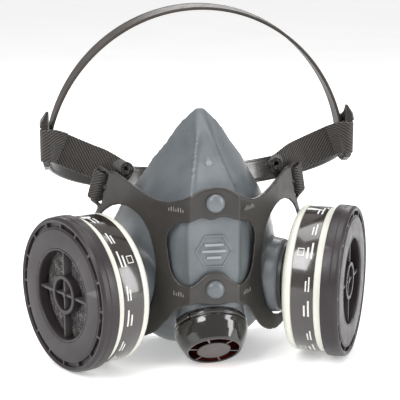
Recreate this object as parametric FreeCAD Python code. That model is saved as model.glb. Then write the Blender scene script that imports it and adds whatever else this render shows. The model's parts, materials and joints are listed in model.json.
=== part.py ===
import FreeCAD
import Part
import math
import os

# Half-mask respirator for painting work, standing upright as it stands on a bench.
# Millimetres, +Z up.  The mask faces -Y and is symmetric about the plane X = 0.
# Everything is drawn about the plane of the filter faces (y = 0 there) and is moved
# at the end so that the origin is the middle of the underside.

V = FreeCAD.Vector

# ---- driving dimensions ------------------------------------------------------------
CAP_RADIUS = 45.0            # filter retainer, outside
CARTRIDGE_RADIUS = 43.0      # cartridge body, outside
CAP_OFFSET = 86.0            # centre of a filter face from the middle plane
CAP_TURN = 62.0              # degrees, filter axis from straight ahead
CAP_DEPTH = 10.0             # retainer, front to skirt edge
LID_DEPTH = 13.6             # filter face to the back edge of the cartridge lid
LABEL_END = 27.3             # filter face to the back edge of the label
BOWL_EDGE = 30.3             # where the cartridge starts to round off
BOWL_BACK = 36.0             # back of the cartridge
NECK_END = 50.0              # end of the threaded neck
PORT_FACE = 41.0             # outer face of the facepiece port
PORT_RADIUS = 22.0
CONNECTOR_END = 57.0         # inner end of the port connector
CONNECTOR_RADIUS = 17.5
NECK_RADIUS = 14.7           # threaded neck of the cartridge
NECK_BORE = 13.0
NECK_HOLE = 15.0             # bore of the port connector
FLANGE_RADIUS = 20.5         # outer flange of the port connector
LIP_RADIUS = 19.5            # its inner lip, inside the facepiece
RECESS_RADIUS = 25.5         # recess in the middle of the filter retainer
GRILLE_RADIUS = 11.3
RIM_SLOTS = 16
RIB_TURN = -28.0              # degrees, first rib of the grille
PACK_RADIUS = 41.0           # sorbent bed, screens and filter pad
FLAP_RADIUS = 13.4           # inhalation flap

MASK_HEIGHT = 146.0
WALL = 2.8                   # rubber wall of the facepiece
FACE_RADIUS = 75.0           # the seal follows a cylinder of this radius
SEAL_WIDTH = 11.0            # inward turned sealing lip
SEAL_CHIN_Y = 50.0           # seal line at the chin
SEAL_NOSE_Y = 36.0           # seal line at the nose

PANEL_Y = -13.7              # flat front panel
YOKE_FRONT_Y = -17.0
YOKE_THICK = 2.5
PEG_HEIGHTS = (49.0, 99.0)
PEG_STEM_RADIUS = 3.2
PEG_HEAD_RADIUS = 5.3

VALVE_TILT = 45.0            # exhalation axis below straight ahead
GUARD_RADIUS = 21.5
GUARD_NOSE_RADIUS = 16.0
GUARD_LENGTH = 18.0
GUARD_NOSE_Y = -14.0
OUTLET_BORE = 16.0           # hole in the facepiece behind the exhalation valve
TAB_ANGLE = 145.0            # degrees, latch tab of the guard
GUARD_WINDOWS = 6
WINDOW_TURN = 51.0           # degrees, first spoke between the guard's windows

CRADLE_BAND = 16.0           # width of the head bands
CRADLE_THICK = 1.3
CRADLE_HALF = 91.0           # half width of the head cradle
CROWN_RISE = 96.0
CROWN_BASE_Z = 110.0
CROWN_Y = 45.5
CROWN_LEAN = 6.0
NAPE_DEPTH = 80.0
NAPE_SLOPE = 26.0
NAPE_Z = 122.0

STRAP_WIDTH = 19.0
STRAP_THICK = 1.6
STRAP_NEAR_X = 66.0          # where the strap leaves the yoke arm
STRAP_FAR_Z = 126.0          # height of the strap at the cradle
GAP = 0.3                    # between soft or moving neighbours

AXIS_X = math.sin(math.radians(CAP_TURN))
AXIS_Y = -math.cos(math.radians(CAP_TURN))
CAP_AXIS = V(AXIS_X, AXIS_Y, 0)
CAP_CENTRE = V(CAP_OFFSET, 0, CAP_RADIUS)
VALVE_AXIS = V(0, -math.cos(math.radians(VALVE_TILT)), -math.sin(math.radians(VALVE_TILT)))

# The lowest point of the guard's nose ring is on the floor.
GUARD_NOSE = V(0, GUARD_NOSE_Y, GUARD_NOSE_RADIUS * math.cos(math.radians(VALVE_TILT)))
VALVE_BASE = GUARD_NOSE - VALVE_AXIS * GUARD_LENGTH


# ---- helpers -----------------------------------------------------------------------
def disc(radius, start, end, hole=0.0):
    """A round plate or tube from start to end along +Z."""
    body = Part.makeCylinder(radius, end - start, V(0, 0, start))
    if hole > 0:
        body = body.cut(Part.makeCylinder(hole, end - start + 2, V(0, 0, start - 1)))
    return body


def turned(points):
    """A solid of revolution about Z from (radius, height) points."""
    corners = [V(r, 0, z) for r, z in points]
    face = Part.Face(Part.makePolygon(corners + [corners[0]]))
    return face.revolve(V(0, 0, 0), V(0, 0, 1), 360)


def block(x0, x1, y0, y1, z0, z1):
    return Part.makeBox(x1 - x0, y1 - y0, z1 - z0, V(x0, y0, z0))


def fuse_all(shapes):
    return shapes[0].multiFuse(shapes[1:])


def around(shape, count, first=0.0):
    """Copies of a shape, evenly spaced about Z."""
    copies = []
    for i in range(count):
        copy = shape.copy()
        copy.rotate(V(0, 0, 0), V(0, 0, 1), first + 360.0 * i / count)
        copies.append(copy)
    return copies


def along(shape, base, direction):
    """Stand a shape drawn about Z on a line through base."""
    placed = shape.copy()
    placed.Placement = FreeCAD.Placement(base, FreeCAD.Rotation(V(0, 0, 1), direction))
    return placed


def on_port(shape):
    """Shapes of the right port are drawn with z counted inwards from the filter face."""
    return along(shape, CAP_CENTRE, CAP_AXIS * -1)


def on_valve(shape):
    """Shapes of the exhalation valve are drawn with z counted outwards from its seat."""
    return along(shape, VALVE_BASE, VALVE_AXIS)


def mirrored(shape):
    return shape.mirror(V(0, 0, 0), V(1, 0, 0))


def prism(points, direction):
    """A straight-sided solid from corner points and an extrusion vector."""
    return Part.Face(Part.makePolygon(points + [points[0]])).extrude(direction)


# ---- facepiece ---------------------------------------------------------------------
# height, front, half width of the front, turn point of the side (x, y), half width at the seal
MASK_LEVELS = [
    (0.0, 33.0, 6.0, 13.0, 42.0, 16.0),
    (4.0, 22.0, 8.5, 21.0, 33.0, 26.0),
    (12.0, 8.0, 10.5, 28.0, 24.0, 37.0),
    (24.0, -5.0, 11.5, 33.0, 16.0, 45.0),
    (36.0, -12.5, 12.5, 35.5, 14.0, 49.5),
    (50.0, PANEL_Y, 12.8, 36.5, 13.8, 51.0),
    (66.0, PANEL_Y, 12.8, 36.5, 13.8, 50.0),
    (82.0, PANEL_Y, 12.8, 34.5, 14.5, 45.5),
    (97.0, PANEL_Y, 12.0, 29.0, 15.5, 38.5),
    (108.0, -6.5, 9.5, 23.0, 19.0, 31.5),
    (122.0, 8.0, 5.0, 15.0, 27.0, 22.5),
    (134.0, 20.0, 4.2, 11.8, 33.0, 16.0),
    (142.0, 28.5, 3.6, 8.2, 37.0, 11.0),
    (MASK_HEIGHT, 33.0, 2.6, 5.6, 40.0, 7.5),
]
CHEEK_Y = 52.0
BACK_Y = 84.0


def mask_section(level, inset):
    z, front, half, side_x, side_y, cheek = level
    squeeze = (MASK_HEIGHT - 2 * inset) / MASK_HEIGHT
    z = inset + z * squeeze
    front = front + inset
    half = max(half - 0.3 * inset, 0.8)
    side_x = max(side_x - 0.8 * inset, half + 0.7)
    side_y = side_y + 0.6 * inset
    cheek = max(cheek - inset, side_x + 0.7)
    right = [
        (half * 0.5, front),
        (half, front + 0.5),
        ((half + side_x) / 2, (front + side_y) / 2 + 0.4),
        (side_x, side_y),
        (cheek, CHEEK_Y),
        (cheek + 1.0, BACK_Y),
    ]
    left = [(-x, y) for x, y in reversed(right)]
    curve = Part.BSplineCurve()
    curve.interpolate([V(x, y, z) for x, y in right + left], PeriodicFlag=True)
    return Part.Wire(curve.toShape())


def mask_loft(inset):
    """The facepiece as a solid; a positive inset makes it smaller all round."""
    sections = [mask_section(level, inset) for level in MASK_LEVELS]
    return Part.makeLoft(sections, True, False)


def face_form(offset):
    """The wearer's face as a leaning cylinder; everything behind the seal line."""
    foot = V(0, SEAL_CHIN_Y + FACE_RADIUS, 0)
    head = V(0, SEAL_NOSE_Y + FACE_RADIUS, MASK_HEIGHT)
    lean = head - foot
    return Part.makeCylinder(FACE_RADIUS + offset, lean.Length * 2, foot - lean * 0.5, lean)


def peg(z):
    """Mushroom peg that holds the yoke."""
    stem = Part.makeCylinder(PEG_STEM_RADIUS, 5.0, V(0, YOKE_FRONT_Y - 0.6, z), V(0, 1, 0))
    head = turned([
        (0, 0), (PEG_HEAD_RADIUS, 0), (PEG_HEAD_RADIUS, 1.0), (PEG_HEAD_RADIUS * 0.86, 2.2),
        (PEG_HEAD_RADIUS * 0.5, 3.2), (0, 3.6),
    ])
    return stem.fuse(along(head, V(0, YOKE_FRONT_Y - GAP, z), V(0, -1, 0)))


def facepiece():
    port = turned([
        (0, PORT_FACE), (PORT_RADIUS - 1, PORT_FACE), (PORT_RADIUS, PORT_FACE + 1),
        (PORT_RADIUS + 2, 60), (0, 60),
    ])
    outlet = turned([(0, 0), (GUARD_RADIUS - 1.5, 0), (GUARD_RADIUS - 1, -16), (0, -16)])
    outside = mask_loft(0).fuse(on_port(port)).fuse(mirrored(on_port(port))).fuse(on_valve(outlet))
    body = outside.cut(mask_loft(WALL)).cut(face_form(0))
    seal = mask_loft(0.2).common(face_form(2.4)).cut(face_form(0)).cut(mask_loft(SEAL_WIDTH))
    body = body.fuse(seal)
    bore = on_port(disc(CONNECTOR_RADIUS + 0.02, PORT_FACE - 5, 64))
    spotface = on_port(disc(LIP_RADIUS + 0.5, CONNECTOR_END - 1.9, 68))
    port_room = bore.fuse(spotface)
    body = body.cut(port_room).cut(mirrored(port_room))
    body = body.cut(on_valve(disc(GUARD_RADIUS + 0.5, 0, 40)))
    flange = on_valve(disc(GUARD_RADIUS - 0.5, -WALL, 0))
    body = body.fuse(flange).cut(on_valve(disc(OUTLET_BORE, -30, 5)))
    body = body.cut(yoke_room())
    for z in PEG_HEIGHTS:
        body = body.fuse(peg(z))
    return max(body.Solids, key=lambda s: s.Volume)


# ---- yoke --------------------------------------------------------------------------
FRONT_HALF = 14.0            # flat middle of the yoke
WING_TURN = 44.0             # where the wings bend further back
WING_TURN_Y = 16.0
WING_END = 68.0
WING_SLOPE = 50.0            # degrees, outer part of a wing
WING_DIR = V(math.cos(math.radians(WING_SLOPE)), math.sin(math.radians(WING_SLOPE)), 0)
WING_OUT = V(WING_DIR.y, -WING_DIR.x, 0)
LOOP_CENTRE = (48.0, 56.0)
LOOP_HALF = (17.0, 35.5)
ARM_LEAN = 20.0              # the strap bar leans outwards at its foot
ARM_X = 58.0


def smooth_outline(points, direction):
    """A solid from a closed smooth curve in the plane y = const, pushed along direction."""
    curve = Part.BSplineCurve()
    curve.interpolate(points, PeriodicFlag=True)
    return Part.Face(Part.Wire(curve.toShape())).extrude(direction)


def yoke_sheet(front, back):
    """A bent strip pushed upwards; front and back are distances from the yoke's outer face."""
    end_y = WING_TURN_Y + (WING_END - WING_TURN) * math.tan(math.radians(WING_SLOPE))
    outer = [V(-WING_END, end_y, 0), V(-WING_TURN, WING_TURN_Y, 0), V(-FRONT_HALF, YOKE_FRONT_Y, 0)]
    outer += [V(-p.x, p.y, 0) for p in reversed(outer)]
    path = Part.makePolygon(outer)
    near = path.makeOffset2D(front, join=2, openResult=True)
    far = path.makeOffset2D(-back, join=2, openResult=True)
    near_points = [v.Point for v in near.OrderedVertexes]
    far_points = [v.Point for v in far.OrderedVertexes]
    if near_points[0].x * far_points[0].x > 0:
        far_points.reverse()
    return prism(near_points + far_points, V(0, 0, 140))


def arm_frame():
    """Where the strap bar sits: its centre, outward, downward and front directions."""
    lean = math.radians(ARM_LEAN)
    y = WING_TURN_Y + (ARM_X - WING_TURN) * math.tan(math.radians(WING_SLOPE))
    centre = V(ARM_X, y, 99.0)
    outward = WING_DIR * math.cos(lean) + V(0, 0, math.sin(lean))
    down = WING_DIR * math.sin(lean) - V(0, 0, math.cos(lean))
    return centre, outward, down, WING_OUT


def arm_block(out0, out1, down_half, depth0, depth1):
    """A straight block in the arm's own directions; depth is counted towards the front."""
    centre, outward, down, front = arm_frame()
    corners = [
        centre + outward * out0 + down * down_half, centre + outward * out1 + down * down_half,
        centre + outward * out1 - down * down_half, centre + outward * out0 - down * down_half,
    ]
    corners = [c + front * depth0 for c in corners]
    return prism(corners, front * (depth1 - depth0))


BAR_OUT = (3.6, 8.0)         # strap bar, measured outwards from the arm's centre
SLOT_OUT = (-0.8, 3.6)


def yoke_outline():
    """The yoke's front view, without its openings."""
    right = [
        (0, 108.0), (9, 106.0), (18, 100.5), (27, 98.0), (36, 101.0), (46, 107.5), (54, 110.5),
        (59, 106.0), (61, 96.0), (61, 88.0), (66.5, 74.0), (67.8, 56.0), (64.5, 36.0),
        (56, 19.5), (44, 13.0), (34, 17.0), (26, 27.0), (17, 38.5), (9, 40.6),
    ]
    left = [(-x, z) for x, z in reversed(right[1:])]
    return smooth_outline([V(x, -40, z) for x, z in right + [(0, 39.4)] + left], V(0, 130, 0))


def yoke_window():
    right = [
        (0, 89.5), (7, 90.5), (13, 88.5), (20, 86.0), (24.5, 81.0), (24.8, 68.0), (22.5, 56.0),
        (18, 51.0), (11, 52.5), (5, 57.5),
    ]
    left = [(-x, z) for x, z in reversed(right[1:])]
    return smooth_outline([V(x, -40, z) for x, z in right + [(0, 58.8)] + left], V(0, 60, 0))


def yoke_loops():
    """The two openings that the ports stand in."""
    points = []
    for step in range(12):
        angle = math.radians(30 * step)
        x = LOOP_CENTRE[0] + LOOP_HALF[0] * math.cos(angle)
        points.append(V(x, -40, LOOP_CENTRE[1] + LOOP_HALF[1] * math.sin(angle)))
    hole = smooth_outline(points, V(0, 130, 0))
    return hole.fuse(mirrored(hole))


def yoke_room():
    """The space the yoke needs in front of the facepiece, with its clearance."""
    return yoke_sheet(4.0, YOKE_THICK + GAP).common(yoke_outline()).cut(yoke_loops())


def yoke():
    body = yoke_sheet(0.0, YOKE_THICK).common(yoke_outline())
    body = body.cut(yoke_window())
    plate = arm_block(-9.0, BAR_OUT[1], 12.0, -YOKE_THICK, 0.0)
    slot = arm_block(SLOT_OUT[0], SLOT_OUT[1], 10.2, -YOKE_THICK - 1, 1.0)
    body = fuse_all([body, plate, mirrored(plate)])
    body = body.cut(slot).cut(mirrored(slot)).cut(yoke_loops())
    for z in PEG_HEIGHTS:
        body = body.cut(Part.makeCylinder(PEG_STEM_RADIUS + 0.15, 20, V(0, -30, z), V(0, 1, 0)))
    return max(body.Solids, key=lambda s: s.Volume)


# ---- cartridge, right side; z is counted inwards from the filter face ----------------
def filter_retainer():
    shell = turned([
        (RECESS_RADIUS, 0.6), (RECESS_RADIUS + 0.6, 0), (37.8, 0), (38.4, 0.5), (42.2, 0.5),
        (42.8, 0), (43.8, 0), (CAP_RADIUS, 1.4), (CAP_RADIUS, CAP_DEPTH),
        (CARTRIDGE_RADIUS + GAP, CAP_DEPTH), (CARTRIDGE_RADIUS + GAP, 2.4), (27.2, 2.4),
        (27.2, 6.4), (RECESS_RADIUS, 6.4),
    ])
    slot_ring = disc(41.8, -1, 4, hole=39.0)
    bridges = around(block(36, 44, -0.6, 0.6, -2, 5), RIM_SLOTS, RIB_TURN)
    slots = slot_ring.cut(bridges[0].multiFuse(bridges[1:]))
    rib = block(0, RECESS_RADIUS + 0.8, -0.7, 0.7, 1.6, 6.4)
    ring = disc(GRILLE_RADIUS, 1.2, 6.4, hole=GRILLE_RADIUS - 2.3)
    return fuse_all([shell.cut(slots), ring] + around(rib, 4, RIB_TURN))


def cartridge_lid():
    rim = disc(CARTRIDGE_RADIUS, 7.0, LID_DEPTH, hole=41.4)
    plate = disc(41.5, 11.0, 12.4)
    holes = []
    for radius, count in ((8.0, 6), (16.0, 12), (24.0, 18), (32.0, 24)):
        holes += around(Part.makeCylinder(1.7, 4, V(radius, 0, 10)), count)
    return rim.fuse(plate.cut(holes[0].multiFuse(holes[1:])))


def cartridge_bowl():
    outside = turned([
        (0, LID_DEPTH), (CARTRIDGE_RADIUS, LID_DEPTH), (CARTRIDGE_RADIUS, BOWL_EDGE),
        (41.6, 32.0), (37.5, 33.6), (30.0, 34.8), (24.0, 35.6), (20.0, BOWL_BACK),
        (NECK_RADIUS + 0.9, BOWL_BACK), (NECK_RADIUS, BOWL_BACK + 1.5), (NECK_RADIUS, NECK_END),
        (0, NECK_END),
    ])
    inside = turned([
        (0, LID_DEPTH - 1), (41.4, LID_DEPTH - 1), (41.4, BOWL_EDGE - 0.6), (36.5, 31.8),
        (24.0, 33.6), (NECK_BORE, 34.0), (NECK_BORE, NECK_END + 1), (0, NECK_END + 1),
    ])
    return outside.cut(inside)


def cartridge_label():
    return disc(CARTRIDGE_RADIUS + 0.32, LID_DEPTH + 0.1, LABEL_END, hole=CARTRIDGE_RADIUS + 0.02)


def connector():
    """Bushing through the port: flange outside, lip and valve hub inside."""
    flange = disc(FLANGE_RADIUS, PORT_FACE - 1.8, PORT_FACE, hole=NECK_HOLE)
    tube = disc(CONNECTOR_RADIUS, PORT_FACE - 0.5, CONNECTOR_END, hole=NECK_HOLE)
    lip = disc(LIP_RADIUS, CONNECTOR_END - 1.6, CONNECTOR_END, hole=CONNECTOR_RADIUS - 0.5)
    seat = disc(NECK_HOLE + 0.5, CONNECTOR_END - 1.8, CONNECTOR_END, hole=12.0)
    spoke = block(0, 12.6, -0.9, 0.9, CONNECTOR_END - 1.8, CONNECTOR_END - 0.3)
    hub = disc(2.6, CONNECTOR_END - 1.8, CONNECTOR_END - 0.3)
    body = fuse_all([flange, tube, lip, seat, hub] + around(spoke, 3, 30.0))
    return body.cut(disc(1.3, CONNECTOR_END - 4, CONNECTOR_END + 2))


def gasket():
    return disc(LIP_RADIUS, BOWL_BACK + GAP, PORT_FACE - 2.1, hole=NECK_RADIUS + 1.5)


def inhalation_flap():
    """Rubber disc on the inner side of the port, held by a barbed stem in the hub."""
    leaf = disc(FLAP_RADIUS, CONNECTOR_END + 0.05, CONNECTOR_END + 0.75)
    stem = disc(1.2, CONNECTOR_END - 4.0, CONNECTOR_END + 0.2)
    return leaf.fuse(stem)


# ---- exhalation valve; z is counted outwards from the outlet face --------------------
def valve_seat():
    body = turned([
        (14.4, -8), (15.9, -8), (15.9, 0.05), (19.4, 0.05), (19.4, 2.0), (14.9, 2.0), (14.9, 3.0),
        (14.0, 3.0), (13.4, 2.0), (13.4, 0.2), (14.4, 0.2),
    ])
    spoke = block(0, 14.0, -0.9, 0.9, 0.2, 1.8)
    hub = disc(2.8, 0.2, 2.4)
    seat = fuse_all([body, hub] + around(spoke, 4, 45.0))
    return seat.cut(disc(1.5, -2, 5))


def exhalation_flap():
    leaf = turned([(0, 3.05), (14.6, 3.05), (14.6, 3.55), (4.0, 4.1), (2.4, 4.9), (0, 4.9)])
    return leaf.fuse(disc(1.4, -2.5, 3.2))


def exhalation_guard():
    outside = turned([
        (0, 0.3), (GUARD_RADIUS - 0.7, 0.3), (GUARD_RADIUS, 1.0), (GUARD_RADIUS, 5.5),
        (GUARD_RADIUS - 0.7, 8.5), (GUARD_RADIUS - 2.4, 12.5), (GUARD_NOSE_RADIUS + 0.6, 17.4),
        (GUARD_NOSE_RADIUS, GUARD_LENGTH), (0, GUARD_LENGTH),
    ])
    inside = turned([
        (0, -1), (19.7, -1), (19.7, 8.0), (17.6, 12.0), (15.2, GUARD_LENGTH - 1.8),
        (0, GUARD_LENGTH - 1.8),
    ])
    windows = disc(14.8, 10, GUARD_LENGTH + 2, hole=9.6)
    spokes = around(block(8, 16, -0.6, 0.6, 8, GUARD_LENGTH + 3), GUARD_WINDOWS, WINDOW_TURN)
    windows = windows.cut(spokes[0].multiFuse(spokes[1:]))
    tab = block(GUARD_RADIUS - 1.2, GUARD_RADIUS + 1.6, -5, 5, 0.4, 4.4)
    tab.rotate(V(0, 0, 0), V(0, 0, 1), TAB_ANGLE)
    return outside.cut(inside).cut(windows).fuse(tab)


# ---- head harness ------------------------------------------------------------------
BAR_Y = (31.5, 35.3)         # strap bar of the cradle's end plate
CRADLE_SLOT_Y = (35.3, 39.0)
CRADLE_SLOT_Z = (115.5, 136.5)
TILT_CENTRE = V(0, 43.8, 112.5)


def ellipse_face(long_end, short_end):
    ellipse = Part.Ellipse(long_end, short_end, V(0, 0, 0))
    return Part.Face(Part.Wire(ellipse.toShape()))


def crown_band():
    """Half an ellipse of flat strip over the head, leaning slightly forwards."""
    inner_half = CRADLE_HALF - CRADLE_THICK
    outer = ellipse_face(V(0, 0, CROWN_RISE), V(CRADLE_HALF, 0, 0))
    inner = ellipse_face(V(0, 0, CROWN_RISE - CRADLE_THICK), V(inner_half, 0, 0))
    ring = outer.cut(inner).extrude(V(0, CRADLE_BAND, 0))
    ring = ring.common(block(-200, 200, -1, CRADLE_BAND + 1, 6, 200))
    ring.translate(V(0, CROWN_Y - CRADLE_BAND / 2, CROWN_BASE_Z))
    ring.rotate(V(0, CROWN_Y, NAPE_Z), V(1, 0, 0), CROWN_LEAN)
    return ring


def nape_band():
    """The lower band, round the back of the head and sloping down to the nape."""
    inner_half = CRADLE_HALF - CRADLE_THICK
    outer = ellipse_face(V(CRADLE_HALF, 0, 0), V(0, NAPE_DEPTH, 0))
    inner = ellipse_face(V(inner_half, 0, 0), V(0, NAPE_DEPTH - CRADLE_THICK, 0))
    ring = outer.cut(inner).extrude(V(0, 0, CRADLE_BAND))
    ring = ring.common(block(-200, 200, 0, 200, -1, CRADLE_BAND + 1))
    ring.translate(V(0, 0, -CRADLE_BAND / 2))
    ring.rotate(V(0, 0, 0), V(1, 0, 0), -NAPE_SLOPE)
    ring.translate(V(0, CROWN_Y, NAPE_Z))
    return ring


def cradle_end():
    """Right end plate: both bands meet here, and the bar for the strap is in front of them."""
    outline = [
        (30.6, 114.0), (29.8, 127.0), (31.0, 139.0), (33.6, 147.0), (37.0, 142.5), (44.0, 139.0),
        (53.0, 136.0), (54.5, 122.0), (49.5, 112.5), (38.0, 110.5),
    ]
    x = CRADLE_HALF - 1.7
    return smooth_outline([V(x, y, z) for y, z in outline], V(2.0, 0, 0))


def head_cradle():
    end = cradle_end()
    body = fuse_all([crown_band(), nape_band(), end, mirrored(end)])
    slot = block(80, 100, CRADLE_SLOT_Y[0], CRADLE_SLOT_Y[1], CRADLE_SLOT_Z[0], CRADLE_SLOT_Z[1])
    body = body.cut(slot).cut(mirrored(slot))
    return max(body.Solids, key=lambda s: s.Volume)


def strap():
    """Woven strap from the yoke arm out to the cradle, looped round the cradle's bar."""
    near = V(STRAP_NEAR_X, TILT_CENTRE.y + 0.8, TILT_CENTRE.z)
    far = V(CRADLE_HALF - 3.4, BAR_Y[0] + 1.4, STRAP_FAR_Z)
    rise = V(0, 0, STRAP_WIDTH / 2 + 0.8)
    corners = [near - rise, far - rise, far + rise, near + rise]
    across = (far - near).cross(rise).normalize()
    band = prism([c - across * STRAP_THICK / 2 for c in corners], across * STRAP_THICK)
    half = STRAP_WIDTH / 2 + 0.6
    x0 = CRADLE_HALF - 1.7 - GAP
    x1 = CRADLE_HALF + 0.3 + GAP
    y0 = BAR_Y[0] - 2.0 - GAP
    y1 = BAR_Y[1] + GAP
    loop = block(x0 - STRAP_THICK, x1 + STRAP_THICK, y0 - STRAP_THICK, y1 + STRAP_THICK,
                 STRAP_FAR_Z - half, STRAP_FAR_Z + half)
    loop = loop.cut(block(x0, x1, y0, y1, 100, 150))
    return fuse_all([band, loop])


def strap_tail():
    """The strap's other end: round the yoke's bar and in behind the arm."""
    half = STRAP_WIDTH / 2
    sleeve = arm_block(SLOT_OUT[1] - GAP - 1.5, BAR_OUT[1] + GAP + 1.5, half, -4.4, 1.8)
    sleeve = sleeve.cut(arm_block(SLOT_OUT[1] - GAP, BAR_OUT[1] + GAP, 30, -2.9, GAP))
    centre, outward, down, front = arm_frame()
    behind = centre - front * 4.4
    inner = behind - WING_DIR * 15.0
    outline = [(-15, 0.5), (4, -7.5), (12, 3.2), (12, 23.8), (0, 14.5), (-15, 16)]
    corners = [behind + WING_DIR * out + V(0, 0, rise) for out, rise in outline]
    layer = prism(corners, front * 1.5)
    roll = Part.makeCylinder(2.6, 15.5, inner + V(0, 0, 0.5) - front * 1.6, V(0, 0, 1))
    return fuse_all([sleeve, layer, roll])


# ---- all pieces --------------------------------------------------------------------
def right_port_pieces():
    """Pieces of the right port and filter, from the facepiece outwards."""
    return {
        "inhalation_flap": on_port(inhalation_flap()),
        "port_connector": on_port(connector()),
        "connector_gasket": on_port(gasket()),
        "cartridge_bowl": on_port(cartridge_bowl()),
        "outlet_screen": on_port(disc(PACK_RADIUS - 1.5, 29.2, 29.8)),
        "sorbent_bed": on_port(disc(PACK_RADIUS, 13.8, 28.8)),
        "inlet_screen": on_port(disc(PACK_RADIUS, 12.7, 13.3)),
        "cartridge_lid": on_port(cartridge_lid()),
        "cartridge_label": on_port(cartridge_label()),
        "filter_pad": on_port(disc(PACK_RADIUS, 7.2, 10.7)),
        "filter_retainer": on_port(filter_retainer()),
        "head_strap": strap(),
        "strap_loop": strap_tail(),
    }


def all_pieces():
    pieces = {
        "facepiece": facepiece(),
        "yoke": yoke(),
        "exhalation_seat": on_valve(valve_seat()),
        "exhalation_flap": on_valve(exhalation_flap()),
        "exhalation_guard": on_valve(exhalation_guard()),
        "head_cradle": head_cradle(),
    }
    for name, shape in right_port_pieces().items():
        pieces[name + "_right"] = shape
        pieces[name + "_left"] = mirrored(shape)
    return pieces


def origin_shift(pieces):
    """From the drawing origin to the middle of the underside."""
    box = Part.makeCompound(list(pieces.values())).optimalBoundingBox(True, False)
    return V(0, -(box.YMin + box.YMax) / 2, -box.ZMin)


def main():
    os.makedirs("parts", exist_ok=True)
    pieces = all_pieces()
    shift = origin_shift(pieces)
    print("moved by", shift)
    for name, shape in pieces.items():
        shape.translate(shift)
        shape.exportStep("parts/" + name + ".step")
        solids = len(shape.Solids)
        print(name, "solids", solids, "valid", shape.isValid(), "volume", round(shape.Volume))


if __name__ == "__main__":
    main()
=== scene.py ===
import json
import math

import bmesh
import bpy
import numpy as np
from mathutils import Matrix, Vector


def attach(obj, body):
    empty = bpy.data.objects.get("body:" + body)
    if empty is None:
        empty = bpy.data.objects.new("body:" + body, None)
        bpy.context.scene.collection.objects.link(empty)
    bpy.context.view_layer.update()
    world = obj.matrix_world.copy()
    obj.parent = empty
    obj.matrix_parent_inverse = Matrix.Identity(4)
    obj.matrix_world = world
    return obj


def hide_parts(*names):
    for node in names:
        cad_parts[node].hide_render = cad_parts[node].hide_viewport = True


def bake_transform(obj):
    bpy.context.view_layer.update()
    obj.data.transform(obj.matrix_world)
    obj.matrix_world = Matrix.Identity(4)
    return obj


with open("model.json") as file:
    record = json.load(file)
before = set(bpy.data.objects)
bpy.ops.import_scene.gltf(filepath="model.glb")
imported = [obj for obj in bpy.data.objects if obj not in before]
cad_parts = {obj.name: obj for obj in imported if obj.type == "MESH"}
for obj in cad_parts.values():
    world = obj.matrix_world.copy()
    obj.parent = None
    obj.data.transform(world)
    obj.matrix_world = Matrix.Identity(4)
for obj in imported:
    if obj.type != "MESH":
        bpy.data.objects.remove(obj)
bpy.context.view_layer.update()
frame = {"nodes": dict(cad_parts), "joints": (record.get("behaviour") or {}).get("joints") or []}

# A half-mask respirator standing on a pale table.  Lengths in the pieces' own functions are
# millimetres in the drawing frame: y = 0 is the plane of the two filter faces, z = 0 the floor.
MM = 0.001
SIDES = {"right": 1, "left": -1}

joints = {joint["name"]: joint for joint in frame["joints"]}
cap_centre = Vector(joints["cartridge_right_unscrew"]["pos_m"])
cap_axis = Vector(joints["cartridge_right_unscrew"]["axis"])
valve_axis = Vector(joints["exhalation_guard_pull"]["axis"])
plane_y = cap_centre.y

CAP_RADIUS = 45.0
CARTRIDGE_RADIUS = 43.0
LID_EDGE = 13.6
LABEL_EDGE = 27.3
RECESS_RADIUS = 25.5
RIB_TURN = -28.0
GUARD_RADIUS = 21.5
GUARD_NOSE_RADIUS = 16.0
GUARD_LENGTH = 18.0
GUARD_NOSE_Y = -14.0
WINDOW_TURN = 51.0
PANEL_Y = -13.7
YOKE_FRONT_Y = -17.0
PEG_HEIGHTS = (49.0, 99.0)
PEG_RADIUS = 5.3
STRAP_WIDTH = 19.0
STRAP_THICK = 1.5


def at(x, y, z):
    """A drawing-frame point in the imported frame, in metres."""
    return Vector((x * MM, y * MM + plane_y, z * MM))


# ---- mesh helpers ----------------------------------------------------------------------
def mesh_object(name, points, faces):
    mesh = bpy.data.meshes.new(name)
    mesh.from_pydata([tuple(p) for p in points], [], faces)
    mesh.update()
    obj = bpy.data.objects.new(name, mesh)
    bpy.context.scene.collection.objects.link(obj)
    return obj


def baked(obj):
    """Applies the object's modifiers to its mesh."""
    bpy.context.view_layer.update()
    graph = bpy.context.evaluated_depsgraph_get()
    mesh = bpy.data.meshes.new_from_object(obj.evaluated_get(graph))
    obj.modifiers.clear()
    obj.data = mesh
    return obj


def combined(obj, other, operation):
    boolean = obj.modifiers.new("combine", "BOOLEAN")
    boolean.operation = operation
    boolean.solver = "EXACT"
    boolean.object = other
    baked(obj)
    bpy.data.objects.remove(other)
    return obj


def joined(obj, others):
    """One mesh from several; a remesh afterwards makes one solid of them."""
    points = [v.co.copy() for v in obj.data.vertices]
    faces = [tuple(p.vertices) for p in obj.data.polygons]
    for other in others:
        start = len(points)
        points += [v.co.copy() for v in other.data.vertices]
        faces += [tuple(start + i for i in p.vertices) for p in other.data.polygons]
        bpy.data.objects.remove(other)
    name = obj.name
    bpy.data.objects.remove(obj)
    return mesh_object(name, points, faces)


def remeshed(obj, voxel, passes):
    """One smooth skin over everything in the mesh, edges rounded by a few smoothing passes."""
    remesh = obj.modifiers.new("remesh", "REMESH")
    remesh.mode = "VOXEL"
    remesh.voxel_size = voxel * MM
    smooth = obj.modifiers.new("smooth", "SMOOTH")
    smooth.factor = 0.5
    smooth.iterations = passes
    return baked(obj)


def bevelled(obj, width, angle=30.0):
    bevel = obj.modifiers.new("bevel", "BEVEL")
    bevel.width = width * MM
    bevel.segments = 2
    bevel.limit_method = "ANGLE"
    bevel.angle_limit = math.radians(angle)
    bevel.harden_normals = False
    return baked(obj)


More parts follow.
